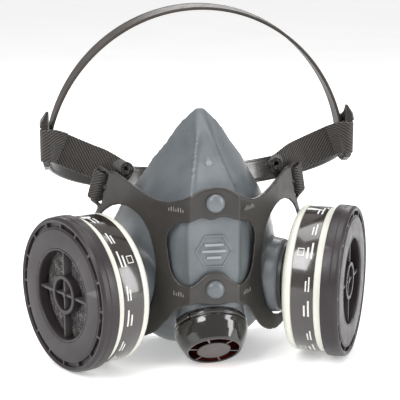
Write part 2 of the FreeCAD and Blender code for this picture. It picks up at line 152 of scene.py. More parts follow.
def shaded(obj, sharp_angle=180.0):
    obj.data.shade_smooth()
    if sharp_angle < 180.0:
        obj.data.set_sharp_from_angle(angle=math.radians(sharp_angle))
    return obj


def filleted(corners, radius):
    """A closed (radius, height) outline with its corners rounded."""
    rounded = []
    count = len(corners)
    for i, corner in enumerate(corners):
        here = Vector(corner)
        before = Vector(corners[i - 1]) - here
        after = Vector(corners[(i + 1) % count]) - here
        reach = min(radius, before.length * 0.45, after.length * 0.45)
        if here.x < 0.01 or reach < 0.02:
            rounded.append(tuple(here))
            continue
        start = here + before.normalized() * reach
        end = here + after.normalized() * reach
        for step in range(4):
            t = step / 3
            rounded.append(tuple(start * (1 - t) ** 2 + here * 2 * t * (1 - t) + end * t * t))
    return rounded


def lathe(name, outline, segments=128):
    """A solid of revolution about Z from a closed (radius, height) outline in millimetres."""
    points, faces, rings = [], [], []
    for radius, height in outline:
        start = len(points)
        if radius < 0.01:
            points.append((0, 0, height * MM))
            rings.append([start] * segments)
            continue
        for k in range(segments):
            turn = 2 * math.pi * k / segments
            points.append((radius * math.cos(turn) * MM, radius * math.sin(turn) * MM, height * MM))
        rings.append(list(range(start, start + segments)))
    for i, ring in enumerate(rings):
        following = rings[(i + 1) % len(rings)]
        for k in range(segments):
            n = (k + 1) % segments
            face = list(dict.fromkeys([ring[k], ring[n], following[n], following[k]]))
            if len(face) > 2:
                faces.append(face)
    obj = mesh_object(name, points, faces)
    return outward(obj)


def outward(obj):
    """Makes the faces of a closed mesh look outwards."""
    shell = bmesh.new()
    shell.from_mesh(obj.data)
    bmesh.ops.recalc_face_normals(shell, faces=shell.faces)
    shell.to_mesh(obj.data)
    shell.free()
    return obj


def prism(name, outline, low, high):
    """A straight solid from (x, y) points, between two heights, in millimetres."""
    count = len(outline)
    points = [(x * MM, y * MM, low * MM) for x, y in outline]
    points += [(x * MM, y * MM, high * MM) for x, y in outline]
    faces = [list(range(count))[::-1], list(range(count, 2 * count))]
    faces += [[i, (i + 1) % count, (i + 1) % count + count, i + count] for i in range(count)]
    return outward(mesh_object(name, points, faces))


def welded(obj):
    """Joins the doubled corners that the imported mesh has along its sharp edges."""
    shell = bmesh.new()
    shell.from_mesh(obj.data)
    bmesh.ops.remove_doubles(shell, verts=shell.verts, dist=0.001 * MM)
    shell.to_mesh(obj.data)
    shell.free()
    return obj


def bar(x0, x1, y0, y1):
    return [(x0, y0), (x1, y0), (x1, y1), (x0, y1)]


def spun(outline, degrees):
    c, s = math.cos(math.radians(degrees)), math.sin(math.radians(degrees))
    return [(x * c - y * s, x * s + y * c) for x, y in outline]


def ring_sector(inner, outer, start, end, steps=8):
    """The outline of part of a flat ring, angles in degrees."""
    turns = [math.radians(start + (end - start) * i / steps) for i in range(steps + 1)]
    near = [(inner * math.cos(t), inner * math.sin(t)) for t in turns]
    far = [(outer * math.cos(t), outer * math.sin(t)) for t in reversed(turns)]
    return near + far


def along(obj, base, direction, side=1):
    """Stands a mesh drawn about Z on a line through base; the left side is its mirror image."""
    turn = Vector((0, 0, 1)).rotation_difference(direction).to_matrix().to_4x4()
    obj.data.transform(Matrix.Translation(base) @ turn)
    return on_side(obj, side)


def on_side(obj, side):
    """Every piece is drawn for the right; the left one is its mirror image."""
    if side < 0:
        obj.data.transform(Matrix.Scale(-1, 4, (1, 0, 0)))
        obj.data.flip_normals()
    return obj


def on_port(obj, side):
    return along(obj, cap_centre, -cap_axis, side)


valve_base = at(0, GUARD_NOSE_Y, GUARD_NOSE_RADIUS * -valve_axis.z) - valve_axis * GUARD_LENGTH * MM


def on_valve(obj):
    return along(obj, valve_base, valve_axis)


def curve_through(points, samples):
    """Points on a smooth curve through the given ones, evenly spread over its spans."""
    p = np.array([tuple(v) for v in points], float)
    ends = np.vstack([2 * p[0] - p[1], p, 2 * p[-1] - p[-2]])
    made = []
    for i in range(len(p) - 1):
        a, b, c, d = ends[i:i + 4]
        for step in range(samples):
            t = step / samples
            made.append(0.5 * (2 * b + (c - a) * t + (2 * a - 5 * b + 4 * c - d) * t * t
                               + (3 * b - a - 3 * c + d) * t ** 3))
    made.append(p[-1])
    return np.array(made)


def strip_section(width, thick, bead):
    """A strip's outline with half-round edges; bead is how much higher the edges stand."""
    half, rise = width / 2, thick / 2
    inset, steps = 0.8, 8
    right = []
    for turn in range(0, 181, 30):
        angle = math.radians(90 - turn)
        right.append((half - rise + rise * math.cos(angle), (rise + bead) * math.sin(angle)))
    flat = [half - rise - inset - i * (width - 2 * rise - 2 * inset) / steps
            for i in range(steps + 1)]
    under = [(w, -rise) for w in flat]
    left = [(-w, -h) for w, h in right]
    over = [(-w, rise) for w in flat]
    return right + under + left + over


def ribbon(name, path, across, width, thick, samples=8, bead=0.0, closed=False):
    """A flat strip along a path; across holds the direction of its width at each path point."""
    if closed:
        path = list(path) + [path[0]]
        across = list(across) + [across[0]]
    line = curve_through(path, samples)
    wide = curve_through(across, samples)
    tangent = np.gradient(line, axis=0)
    if closed:
        tangent[0] = tangent[-1] = line[1] - line[-2]
    tangent /= np.linalg.norm(tangent, axis=1)[:, None]
    wide -= (wide * tangent).sum(1)[:, None] * tangent
    wide /= np.linalg.norm(wide, axis=1)[:, None]
    normal = np.cross(tangent, wide)
    section = strip_section(width, thick, bead)
    if closed:
        line, wide, normal = line[:-1], wide[:-1], normal[:-1]
    size = len(section)
    points, faces, spots = [], [], []
    travelled = 0.0
    for i in range(len(line)):
        if i:
            travelled += float(np.linalg.norm(line[i] - line[i - 1]))
        for w, h in section:
            points.append(Vector(line[i]) + Vector(wide[i]) * w + Vector(normal[i]) * h)
            spots.append((travelled, w))
    rows = len(line)
    for i in range(rows if closed else rows - 1):
        n = (i + 1) % rows
        for k in range(size):
            m = (k + 1) % size
            faces.append([i * size + k, i * size + m, n * size + m, n * size + k])
    if not closed:
        faces.append(list(range(size)))
        faces.append([(rows - 1) * size + k for k in reversed(range(size))])
    obj = mesh_object(name, [at(*p) for p in points], faces)
    layer = obj.data.uv_layers.new(name="weave")
    for loop in obj.data.loops:
        u, v = spots[loop.vertex_index]
        layer.data[loop.index].uv = (u * MM, v * MM)
    return outward(obj)


def soft_copy(name, node, voxel, passes, extras=(), cutters=()):
    """A CAD node's shape, with extra solids added and others cut away, as one rounded moulding."""
    copy = bpy.data.objects.new(name + node, frame["nodes"][node].data.copy())
    bpy.context.scene.collection.objects.link(copy)
    whole = joined(mesh_object(name, [], []), [copy, *extras])
    welded(whole)
    for cutter in cutters:
        combined(whole, cutter, "DIFFERENCE")
    return remeshed(whole, voxel, passes)


def piece(obj, body, slot, material, *nodes, sharp=180.0):
    obj.data.materials.clear()
    obj.data.materials.append(material)
    shaded(obj, sharp)
    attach(obj, body)
    if nodes:
        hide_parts(*nodes)
    return obj


# ---- materials -------------------------------------------------------------------------
class Paint:
    """A material with its node tree and a few shortcuts."""

    def __init__(self, name, **sockets):
        self.material = bpy.data.materials.new(name)
        self.material.use_nodes = True
        self.nodes = self.material.node_tree.nodes
        self.links = self.material.node_tree.links
        self.shader = self.nodes["Principled BSDF"]
        for socket, value in sockets.items():
            self.shader.inputs[socket.replace("_", " ")].default_value = value
        self.place = self.nodes.new("ShaderNodeTexCoord").outputs["Object"]

    def noise(self, scale, detail=3.0, roughness=0.55):
        node = self.nodes.new("ShaderNodeTexNoise")
        node.inputs["Scale"].default_value = scale
        node.inputs["Detail"].default_value = detail
        node.inputs["Roughness"].default_value = roughness
        self.links.new(self.place, node.inputs["Vector"])
        return node.outputs["Fac"]

    def ramp(self, factor, *stops):
        node = self.nodes.new("ShaderNodeValToRGB")
        elements = node.color_ramp.elements
        while len(elements) < len(stops):
            elements.new(0.5)
        for element, (position, colour) in zip(elements, stops):
            element.position = position
            element.color = (*colour, 1.0)
        self.links.new(factor, node.inputs["Fac"])
        return node.outputs["Color"]

    def math(self, operation, a, b=None):
        node = self.nodes.new("ShaderNodeMath")
        node.operation = operation
        for socket, value in zip(node.inputs, (a, b)):
            if value is None:
                continue
            if isinstance(value, (int, float)):
                socket.default_value = value
            else:
                self.links.new(value, socket)
        return node.outputs["Value"]

    def spread(self, factor, low, high, from_low=0.3, from_high=0.7):
        node = self.nodes.new("ShaderNodeMapRange")
        node.inputs["From Min"].default_value = from_low
        node.inputs["From Max"].default_value = from_high
        node.inputs["To Min"].default_value = low
        node.inputs["To Max"].default_value = high
        self.links.new(factor, node.inputs["Value"])
        return node.outputs["Result"]

    def mixed(self, factor, first, second):
        node = self.nodes.new("ShaderNodeMix")
        node.data_type = "RGBA"
        self.links.new(factor, node.inputs["Factor"])
        colour_inputs = [s for s in node.inputs if s.type == "RGBA"]
        for socket, value in zip(colour_inputs, (first, second)):
            if isinstance(value, tuple):
                socket.default_value = (*value, 1.0)
            else:
                self.links.new(value, socket)
        return [s for s in node.outputs if s.type == "RGBA"][0]

    def colour(self, output):
        self.links.new(output, self.shader.inputs["Base Color"])

    def roughness(self, output):
        self.links.new(output, self.shader.inputs["Roughness"])

    def bump(self, height, strength, distance):
        node = self.nodes.new("ShaderNodeBump")
        node.inputs["Strength"].default_value = strength
        node.inputs["Distance"].default_value = distance * MM
        self.links.new(height, node.inputs["Height"])
        previous = self.shader.inputs["Normal"].links
        if previous:
            self.links.new(previous[0].from_socket, node.inputs["Normal"])
        self.links.new(node.outputs["Normal"], self.shader.inputs["Normal"])


def moulded(name, colour, tint, rough, grain, relief, patch, worn=None, **sockets):
    """Moulded rubber or plastic: two close tones in soft patches, fine grain, and lighter edges of
    rubbed wear and painted highlight.
    """
    paint = Paint(name, **sockets)
    patches = paint.noise(patch, 4.0, 0.6)
    tone = paint.ramp(patches, (0.36, colour), (0.66, tint))
    if worn:
        # Convex edges lightened in patches: partly wear, partly a painted highlight along the
        # edges.
        edges = paint.nodes.new("ShaderNodeNewGeometry").outputs["Pointiness"]
        rubbed_and_lit_edges = paint.math("MULTIPLY", paint.spread(edges, 0.0, 1.0, 0.53, 0.62), patches)
        tone = paint.mixed(rubbed_and_lit_edges, tone, worn)
    paint.colour(tone)
    fine = paint.noise(grain, 2.0)
    smears = paint.noise(patch * 5, 5.0, 0.65)
    paint.roughness(paint.spread(smears, rough - 0.07, rough + 0.07))
    paint.bump(fine, relief, 0.08)
    paint.bump(smears, relief * 0.6, 0.25)
    return paint.material


def woven(name, dark, light, twill=2.4, yarn=0.95, slant=-1.3):
    """Elastic webbing: slanted twill lines crossed by the yarns that run along the strap."""
    paint = Paint(name, Sheen_Weight=0.2, Sheen_Roughness=0.5, Specular_IOR_Level=0.25)
    split = paint.nodes.new("ShaderNodeSeparateXYZ")
    paint.links.new(paint.nodes.new("ShaderNodeUVMap").outputs["UV"], split.inputs["Vector"])
    lengthwise = paint.math("MULTIPLY", split.outputs["X"], 1 / (twill * MM))
    slanted = paint.math("MULTIPLY", split.outputs["Y"], slant / (twill * MM))
    crosswise = paint.math("MULTIPLY", split.outputs["Y"], 1 / (yarn * MM))
    lines, yarns = (
        paint.math("ABSOLUTE", paint.math("SINE", paint.math("MULTIPLY", place, math.pi)))
        for place in (paint.math("ADD", lengthwise, slanted), crosswise))
    height = paint.math("MULTIPLY", lines, paint.math("POWER", yarns, 0.4))
    fuzz = paint.noise(2600.0, 3.0)
    # The colour follows the weave's height: painted shade darkens the grooves between the yarns;
    # the fuzz adds uneven tone.
    groove_shaded_weave = paint.math("ADD", paint.math("MULTIPLY", height, 0.85), paint.math("MULTIPLY", fuzz, 0.3))
    paint.colour(paint.ramp(groove_shaded_weave, (0.25, dark), (0.95, light)))
    paint.roughness(paint.spread(fuzz, 0.62, 0.85))
    paint.bump(height, 0.9, 0.6)
    paint.bump(fuzz, 0.3, 0.1)
    return paint.material


def felt(name):
    paint = Paint(name, Sheen_Weight=0.08, Sheen_Roughness=0.6, Specular_IOR_Level=0.15)
    speckle = paint.noise(1500.0, 6.0, 0.75)
    cloud = paint.noise(260.0, 3.0)
    both = paint.math("ADD", paint.math("MULTIPLY", speckle, 0.75),
                      paint.math("MULTIPLY", cloud, 0.25))
    dark, middle, light = (0.006, 0.005, 0.005), (0.045, 0.040, 0.040), (0.36, 0.34, 0.33)
    paint.colour(paint.ramp(both, (0.40, dark), (0.51, middle), (0.64, light)))
    paint.roughness(paint.spread(cloud, 0.82, 0.96))
    paint.bump(speckle, 0.9, 0.5)
    return paint.material


def charcoal(name):
    paint = Paint(name, Specular_IOR_Level=0.4)
    grain = paint.nodes.new("ShaderNodeTexVoronoi")
    grain.inputs["Scale"].default_value = 700.0
    paint.links.new(paint.place, grain.inputs["Vector"])
    # Each granule is lighter at its middle and darker towards its edge: painted shade between the
    # granules.
    shade = grain.outputs["Distance"]
    paint.colour(paint.ramp(shade, (0.1, (0.05, 0.05, 0.05)), (0.7, (0.006, 0.006, 0.006))))
    paint.roughness(paint.spread(shade, 0.45, 0.85))
    paint.bump(shade, 1.0, 0.8)
    return paint.material


# Each row: name, two tones, roughness, grain scale, depth of the grain, patch scale, extras.
materials = {
    "facepiece": moulded(
        "blue_grey_rubber", (0.086, 0.098, 0.107), (0.134, 0.150, 0.162), 0.33, 1500, 0.1, 22.0,
        worn=(0.5, 0.53, 0.55), Coat_Weight=0.15, Coat_Roughness=0.25),
    "yoke": moulded(
        "brown_grey_rubber", (0.020, 0.017, 0.015), (0.037, 0.033, 0.030), 0.38, 1300, 0.14, 30.0,
        worn=(0.17, 0.16, 0.15), Coat_Weight=0.08, Coat_Roughness=0.3),
    # The raised marks are coloured much lighter than the yoke rubber.
    "yoke_mark": moulded(
        "rubbed_rubber", (0.16, 0.15, 0.14), (0.24, 0.23, 0.22), 0.5, 1800, 0.2, 160.0),
    "cap": moulded(
        "purple_grey_plastic", (0.022, 0.017, 0.019), (0.034, 0.028, 0.031), 0.36, 2200, 0.14, 26.0,
        worn=(0.13, 0.12, 0.12), Specular_IOR_Level=0.32),
    "cream": moulded(
        "cream_plastic", (0.60, 0.60, 0.53), (0.68, 0.68, 0.61), 0.40, 1500, 0.08, 20.0),
    "label": moulded(
        "printed_film", (0.016, 0.012, 0.010), (0.030, 0.023, 0.020), 0.20, 900, 0.04, 34.0,
        Coat_Weight=0.8, Coat_Roughness=0.08),
    "mark": moulded(
        "white_ink", (0.62, 0.61, 0.58), (0.74, 0.73, 0.70), 0.5, 2500, 0.1, 300.0),
    "guard": moulded(
        "gloss_black_plastic", (0.006, 0.005, 0.0045), (0.012, 0.010, 0.009), 0.14, 800, 0.04, 40.0,
        Coat_Weight=0.6, Coat_Roughness=0.05),
    "guard_disc": moulded(
        "satin_grey_plastic", (0.066, 0.058, 0.056), (0.092, 0.082, 0.079), 0.42, 2200, 0.18, 60.0),
    "red": moulded(
        "red_rubber", (0.50, 0.030, 0.014), (0.62, 0.050, 0.022), 0.38, 1500, 0.1, 60.0),
    # Painted light: the exhalation flap has a brighter red and a faint glow, so that its red shows
    # through the guard's windows.
    "bright_red": moulded(
        "bright_red_rubber", (0.74, 0.035, 0.015), (0.88, 0.060, 0.025), 0.38, 1500, 0.1, 60.0,
        Emission_Color=(1.0, 0.03, 0.01, 1.0), Emission_Strength=0.35),
    "red_plastic": moulded(
        "red_brown_plastic", (0.44, 0.028, 0.014), (0.56, 0.045, 0.022), 0.4, 1500, 0.1, 60.0),
    "cradle": moulded(
        "taupe_plastic", (0.026, 0.021, 0.018), (0.046, 0.039, 0.034), 0.46, 1700, 0.12, 24.0,
        worn=(0.16, 0.145, 0.13), Specular_IOR_Level=0.22),
    "cradle_gloss": moulded(
        "dark_gloss_plastic", (0.012, 0.009, 0.008), (0.022, 0.018, 0.015), 0.22, 1200, 0.06, 30.0,
        Coat_Weight=0.5, Coat_Roughness=0.1),
    "strap": woven("dark_webbing", (0.003, 0.003, 0.002), (0.090, 0.080, 0.073)),
    "felt": felt("speckled_felt"),
    "black": moulded(
        "black_plastic", (0.010, 0.010, 0.010), (0.020, 0.019, 0.019), 0.42, 1800, 0.15, 40.0),
    "gasket": moulded(
        "black_rubber", (0.012, 0.012, 0.012), (0.022, 0.022, 0.022), 0.6, 1500, 0.2, 60.0),
    "paper": moulded(
        "filter_paper", (0.62, 0.62, 0.58), (0.75, 0.75, 0.71), 0.85, 2600, 0.5, 400.0),
    "charcoal": charcoal("charcoal_granules"),
}

CAD_FINISH = {
    "exhalation_seat": "red_plastic", "port_connector": "black", "inhalation_flap": "red",
    "connector_gasket": "gasket", "outlet_screen": "paper", "inlet_screen": "paper",
    "sorbent_bed": "charcoal", "cartridge_lid": "cream",
}


def finish_cad_nodes():
    """The pieces whose CAD shape is already right get their material here."""
    for node, obj in frame["nodes"].items():
        stem = node.replace("_right", "").replace("_left", "")
        if stem in CAD_FINISH:
            obj.data.materials.clear()
            obj.data.materials.append(materials[CAD_FINISH[stem]])


# ---- facepiece -------------------------------------------------------------------------
CREASE_HEIGHTS = (48.0, 58.0, 90.0, 106.0, 113.0, 127.0, 137.0)
CREASE_X = (13.0, 14.0, 14.0, 11.8, 10.0, 5.6, 3.0)
CREASE_RISE = (0.0, 0.6, 0.7, 0.8, 1.3, 1.1, 0.0)
CREASE_WIDTH = 1.4
GROOVE_SHARE, GROOVE_DISTANCE, GROOVE_WIDTH = 0.45, 4.0, 2.6
RECESS_SHARE, RECESS_EDGE = 0.4, 2.2
CREASE_REACH = 22
FACES_FORWARD = -0.15

NOSE_START_Z = 92
NOSE_TIP_Z = 146.0
SWELL, SWELL_Z, SWELL_HEIGHT = 0.12, 120, 11
PINCH, PINCH_Z, PINCH_HEIGHT = 0.09, 141, 5
ARCH_START, ARCH_BLEND, ARCH_WIDTH = 3.5, 3.0, 18
TIP_DEPTH = 7


def bell(value, centre, width):
    return math.exp(-((value - centre) / width) ** 2)


def add_creases(obj):
    """The front panel's two raised edges, which run up to the nose, and the hollow between them."""
    mesh = obj.data
    for vertex in mesh.vertices:
        x, y, z = vertex.co / MM
        on_panel = abs(x) <= CREASE_REACH and CREASE_HEIGHTS[0] < z < CREASE_HEIGHTS[-1]
        if vertex.normal.y > FACES_FORWARD or not on_panel:
            continue
        distance = abs(x) - float(np.interp(z, CREASE_HEIGHTS, CREASE_X))
        rise = float(np.interp(z, CREASE_HEIGHTS, CREASE_RISE))
        ridge = (bell(distance, 0, CREASE_WIDTH)
                 - GROOVE_SHARE * bell(distance, GROOVE_DISTANCE, GROOVE_WIDTH))
        if distance < 0:
            ridge -= RECESS_SHARE * (1 - bell(distance, 0, RECESS_EDGE))
        vertex.co += vertex.normal * (rise * ridge * MM)
    mesh.update()
    smooth = obj.modifiers.new("smooth", "SMOOTH")
    smooth.iterations = 3
    return baked(obj)


def round_nose(obj):
    """Fuller flanks below the nose bridge and an arched tip instead of a flat one."""
    for vertex in obj.data.vertices:
        x, y, z = vertex.co.x / MM, vertex.co.y, vertex.co.z / MM
        if z < NOSE_START_Z:
            continue
        x *= 1 + SWELL * bell(z, SWELL_Z, SWELL_HEIGHT) - PINCH * bell(z, PINCH_Z, PINCH_HEIGHT)
        near = max(0.0, min(1.0, (z - NOSE_TIP_Z + ARCH_START) / ARCH_BLEND))
        vertex.co = (x * MM, y, (z - near * x * x / ARCH_WIDTH) * MM)
    obj.data.update()
    smooth = obj.modifiers.new("smooth", "SMOOTH")
    smooth.iterations = 12
    group = obj.vertex_groups.new(name="tip")
    tip = [v.index for v in obj.data.vertices if v.co.z > (NOSE_TIP_Z - TIP_DEPTH) * MM]
    group.add(tip, 1.0, "REPLACE")
    smooth.vertex_group = "tip"
    baked(obj)
    obj.vertex_groups.clear()
    return obj


def hexagon(centre_x, centre_z, radius):
    turns = [math.radians(60 * i) for i in range(6)]
    return [(centre_x + radius * math.cos(t), centre_z + radius * math.sin(t)) for t in turns]


def raised_on_front(name, outline, y_back, y_front):
    """A low relief: an outline in (x, z), facing forwards."""
    obj = prism(name, outline, 0, 1)
    for vertex in obj.data.vertices:
        x, z, depth = vertex.co / MM
        vertex.co = at(x, y_back + (y_front - y_back) * depth, z)
    return outward(obj)


EMBLEM_Z = 70.5
EMBLEM_RADIUS = 10.6
EMBLEM_HOLLOW = 9.8
EMBLEM_BARS = ((5.4, 74.2), (7.0, EMBLEM_Z), (4.2, 66.8))    # half width, height
SIZE_MARK = [(-2.2, 118), (0, 114.6), (2.2, 118), (0, 121.4)]


def emblem():
    """A plain six-sided frame with three bars, and the plain size mark above it."""
    back, front = PANEL_Y + 0.8, PANEL_Y - 0.42
    plate = raised_on_front("panel_emblem", hexagon(0, EMBLEM_Z, EMBLEM_RADIUS), back, front)
    hollow = raised_on_front("hollow", hexagon(0, EMBLEM_Z, EMBLEM_HOLLOW), back + 2, front - 2)
    combined(plate, hollow, "DIFFERENCE")
    bars = [raised_on_front("bar", bar(-w, w, z - 0.75, z + 0.75), back, front)
            for w, z in EMBLEM_BARS]
    bars.append(raised_on_front("mark", SIZE_MARK, 8.0, 3.2))
    return bevelled(joined(plate, bars), 0.12)


def peg_heads():
    domes = []
    for height in PEG_HEIGHTS:
        dome = lathe("dome", filleted([
            (0, -0.4), (PEG_RADIUS, -0.4), (PEG_RADIUS, 1.1), (PEG_RADIUS * 0.86, 2.3),
            (PEG_RADIUS * 0.5, 3.3), (0, 3.6)], 0.7), 48)
        domes.append(along(dome, at(0, YOKE_FRONT_Y - 0.3, height), Vector((0, -1, 0))))
    return joined(domes[0], domes[1:])


def make_facepiece():
    shell = add_creases(round_nose(soft_copy("facepiece_moulding", "facepiece", 1.0, 5)))
    piece(shell, "mask", "facepiece_rubber", materials["facepiece"], "facepiece")
    heads = peg_heads()
    heads.name = "facepiece_pegs"
    piece(heads, "mask", "facepiece_rubber", materials["facepiece"], sharp=50)
    piece(emblem(), "mask", "facepiece_rubber", materials["facepiece"], sharp=50)


# ---- yoke ------------------------------------------------------------------------------
LOZENGE = [(-12.0, 49.0), (-4.5, 55.6), (4.5, 55.6), (12.0, 49.0), (4.5, 42.4), (-4.5, 42.4)]
PEG_HOLE = 3.4
MARK_ROWS = ((93.3, 7), (44.2, 5))    # height of the row, number of bars
MARK_START, MARK_END, MARK_PITCH = 5.0, 5.6, 1.7
MARK_TALL, MARK_SHORT = 2.6, 1.7
YOKE_BEND = Vector((14.0, YOKE_FRONT_Y, 0.0))
YOKE_SLOPE = math.atan2(33.0, 30.0)


def ellipse(centre_x, centre_z, half_width, half_height, count):
    turns = np.linspace(0, 2 * math.pi, count + 1)[:-1]
    return [(centre_x + half_width * math.cos(t), centre_z + half_height * math.sin(t))
            for t in turns]


def make_yoke():
    """The CAD yoke with a raised pad round each peg, cut free round both ports."""
    lower_z, upper_z = PEG_HEIGHTS
    collar = ellipse(0, upper_z, 8.6, 8.0, 24)
    pads = []
    for name, outline, height in (("lozenge", LOZENGE, lower_z), ("collar", collar, upper_z)):
        pad = raised_on_front(name, outline, YOKE_FRONT_Y + 1.0, YOKE_FRONT_Y - 0.9)
        hole = ellipse(0, height, PEG_HOLE, PEG_HOLE, 24)
        cutter = raised_on_front("hole", hole, YOKE_FRONT_Y + 3, YOKE_FRONT_Y - 3)
        pads.append(combined(pad, cutter, "DIFFERENCE"))
    loops = [raised_on_front("loop", ellipse(side * 48.0, 56.0, side * 17.0, 35.5, 48), 90, -40)
             for side in SIDES.values()]
    body = soft_copy("yoke_moulding", "yoke", 0.7, 4, pads, loops)
    piece(body, "mask", "yoke_rubber", materials["yoke"], "yoke")
    piece(yoke_marks(), "mask", "yoke_rubber", materials["yoke_mark"], sharp=50)


def yoke_marks():
    """Rows of small raised bars beside the pegs, where the moulding has its lettering."""
    out = Vector((math.cos(YOKE_SLOPE), math.sin(YOKE_SLOPE), 0))
    off = Vector((math.sin(YOKE_SLOPE), -math.cos(YOKE_SLOPE), 0))
    bars = []
    for side in SIDES.values():
        for row_z, count in MARK_ROWS:
            for i in range(count):
                top = row_z + (MARK_TALL if i % 3 else MARK_SHORT)
                outline = bar(MARK_START + MARK_PITCH * i, MARK_END + MARK_PITCH * i, row_z, top)
                box = prism("bar", outline, -0.6, 0.32)
                for vertex in box.data.vertices:
                    s, z, lift = vertex.co / MM
                    place = YOKE_BEND + out * s + off * lift
                    vertex.co = at(place.x * side, place.y, z)
                bars.append(outward(box))
    marks = joined(bars[0], bars[1:])
    marks.name = "yoke_marks"
    return marks


# ---- filters ---------------------------------------------------------------------------
def make_retainer(side_name, side):
    """The cap: 16 rim slots, a stepped skirt and a grille in a round recess."""
    inner = CARTRIDGE_RADIUS + 0.3
    shell = lathe("filter_cap_" + side_name, filleted([
        (RECESS_RADIUS, 0.9), (RECESS_RADIUS + 0.5, 0.0), (26.9, 0.0), (27.2, 0.35), (27.6, 0.0),
        (37.9, 0.0), (38.5, 0.5), (42.2, 0.5), (42.8, 0.0), (43.7, 0.0),
        (CAP_RADIUS - 0.25, 1.5), (CAP_RADIUS - 0.25, 4.6), (CAP_RADIUS, 5.0),
        (CAP_RADIUS, 10.0), (inner, 10.0), (inner, 3.4),
        (27.2, 3.4), (27.2, 6.4), (RECESS_RADIUS, 6.4)], 0.35), 160)
    slot = ring_sector(39.1, 41.8, 0.95, 21.55)
    slots = [prism("slot", spun(slot, RIB_TURN + 22.5 * i), -1, 2.4) for i in range(16)]
    combined(shell, joined(slots[0], slots[1:]), "DIFFERENCE")
    rib = bar(11.0, RECESS_RADIUS + 0.8, -0.7, 0.7)
    ribs = [prism("rib", spun(rib, RIB_TURN + 90 * i), 1.9, 6.2) for i in range(4)]
    spoke = bar(1.0, 9.6, -0.55, 0.55)
    spokes = [prism("spoke", spun(spoke, RIB_TURN + 90 * i), 2.2, 6.0) for i in range(4)]
    hub = lathe("hub", [(0, 1.8), (1.6, 1.8), (1.6, 6.0), (0, 6.0)], 24)
    ring = lathe("ring", filleted([(9.0, 1.3), (11.3, 1.3), (11.3, 6.3), (9.0, 6.3)], 0.4), 64)
    whole = joined(shell, ribs + spokes + [hub, ring])
    bevelled(whole, 0.16, 40)
    piece(on_port(whole, side), "retainer_" + side_name, "retainer_plastic", materials["cap"],
          "filter_retainer_" + side_name, sharp=35)
    floor_ring = lathe("slot_floor_" + side_name,
                       [(38.9, 2.45), (42.0, 2.45), (42.0, 3.3), (38.9, 3.3)], 96)
    piece(on_port(floor_ring, side), "retainer_" + side_name, "retainer_plastic",
          materials["black"], sharp=35)


PAD_RADIUS = 41.0
PAD_FACE, PAD_BACK = 7.25, 10.7
LUMP = 0.16


def make_filter_pad(side_name, side):
    """Thick felt with an uneven face and a flat back."""
    rows, columns = 46, 120
    points, faces = [], []
    rng = np.random.default_rng(7)
    lumps = rng.uniform(0, 2 * math.pi, (6, 3))
    for i in range(rows):
        radius = PAD_RADIUS * i / (rows - 1)
        for k in range(columns):
            turn = 2 * math.pi * k / columns
            x, y = radius * math.cos(turn), radius * math.sin(turn)
            wave = sum(math.sin(0.35 * (j + 1) * x + a) * math.sin(0.31 * (j + 1) * y + b) / (j + 1)
                       for j, (a, b, _) in enumerate(lumps))
            points.append((x * MM, y * MM, (PAD_FACE + LUMP * (wave + 1.5)) * MM))
    base = len(points)
    points += [(p[0], p[1], PAD_BACK * MM) for p in points[-columns:]]
    for i in range(1, rows - 1):
        for k in range(columns):
            n = (k + 1) % columns
            faces.append([i * columns + k, i * columns + n,
                          (i + 1) * columns + n, (i + 1) * columns + k])
    faces.append([columns + k for k in range(columns)])
    last = (rows - 1) * columns
    for k in range(columns):
        n = (k + 1) % columns
        faces.append([last + k, last + n, base + n, base + k])
    faces.append([base + k for k in range(columns)])
    pad = mesh_object("felt_pad_" + side_name, points, faces)
    shell = bmesh.new()
    shell.from_mesh(pad.data)
    bmesh.ops.delete(shell, geom=[v for v in shell.verts if not v.link_faces], context="VERTS")
    bmesh.ops.recalc_face_normals(shell, faces=shell.faces)
    shell.to_mesh(pad.data)
    shell.free()
    piece(on_port(pad, side), "cartridge_" + side_name, "filter_felt", materials["felt"],
                    "filter_pad_" + side_name, sharp=60)


def make_cartridge(side_name, side):
    bowl = lathe("cartridge_shell_" + side_name, filleted([
        (0, 12.5), (41.3, 12.5), (41.3, LID_EDGE), (CARTRIDGE_RADIUS, LID_EDGE),
        (CARTRIDGE_RADIUS, LID_EDGE + 0.5), (CARTRIDGE_RADIUS - 0.35, LID_EDGE + 0.9),
        (CARTRIDGE_RADIUS - 0.35, LABEL_EDGE), (CARTRIDGE_RADIUS + 0.2, LABEL_EDGE + 0.5),
        (CARTRIDGE_RADIUS + 0.2, 30.0), (42.4, 31.4), (40.4, 32.7), (37.0, 33.8), (33.0, 34.4),
        (32.0, 34.9), (24.0, 35.7), (20.0, 36.0), (15.6, 36.0), (14.7, 37.5), (14.7, 40.4),
        (14.1, 41.0), (14.7, 41.6), (14.7, 43.4), (14.1, 44.0), (14.7, 44.6), (14.7, 46.4),
        (14.1, 47.0), (14.7, 47.6), (14.7, 50.0), (13.0, 50.0), (13.0, 34.0), (0, 34.0)], 0.5), 128)
    piece(on_port(bowl, side), "cartridge_" + side_name, "cartridge_plastic", materials["cream"],
          "cartridge_bowl_" + side_name, sharp=35)
    film = lathe("label_band_" + side_name, filleted([
        (CARTRIDGE_RADIUS - 0.3, LID_EDGE + 0.6), (CARTRIDGE_RADIUS + 0.28, LID_EDGE + 0.6),
        (CARTRIDGE_RADIUS + 0.28, LABEL_EDGE - 0.1),
        (CARTRIDGE_RADIUS - 0.3, LABEL_EDGE - 0.1)], 0.15), 160)
    piece(on_port(film, side), "cartridge_" + side_name, "label_film", materials["label"],
          "cartridge_label_" + side_name, sharp=35)
    marks = label_marks(side_name)
    piece(on_port(marks, side), "cartridge_" + side_name, "label_film", materials["mark"], sharp=35)


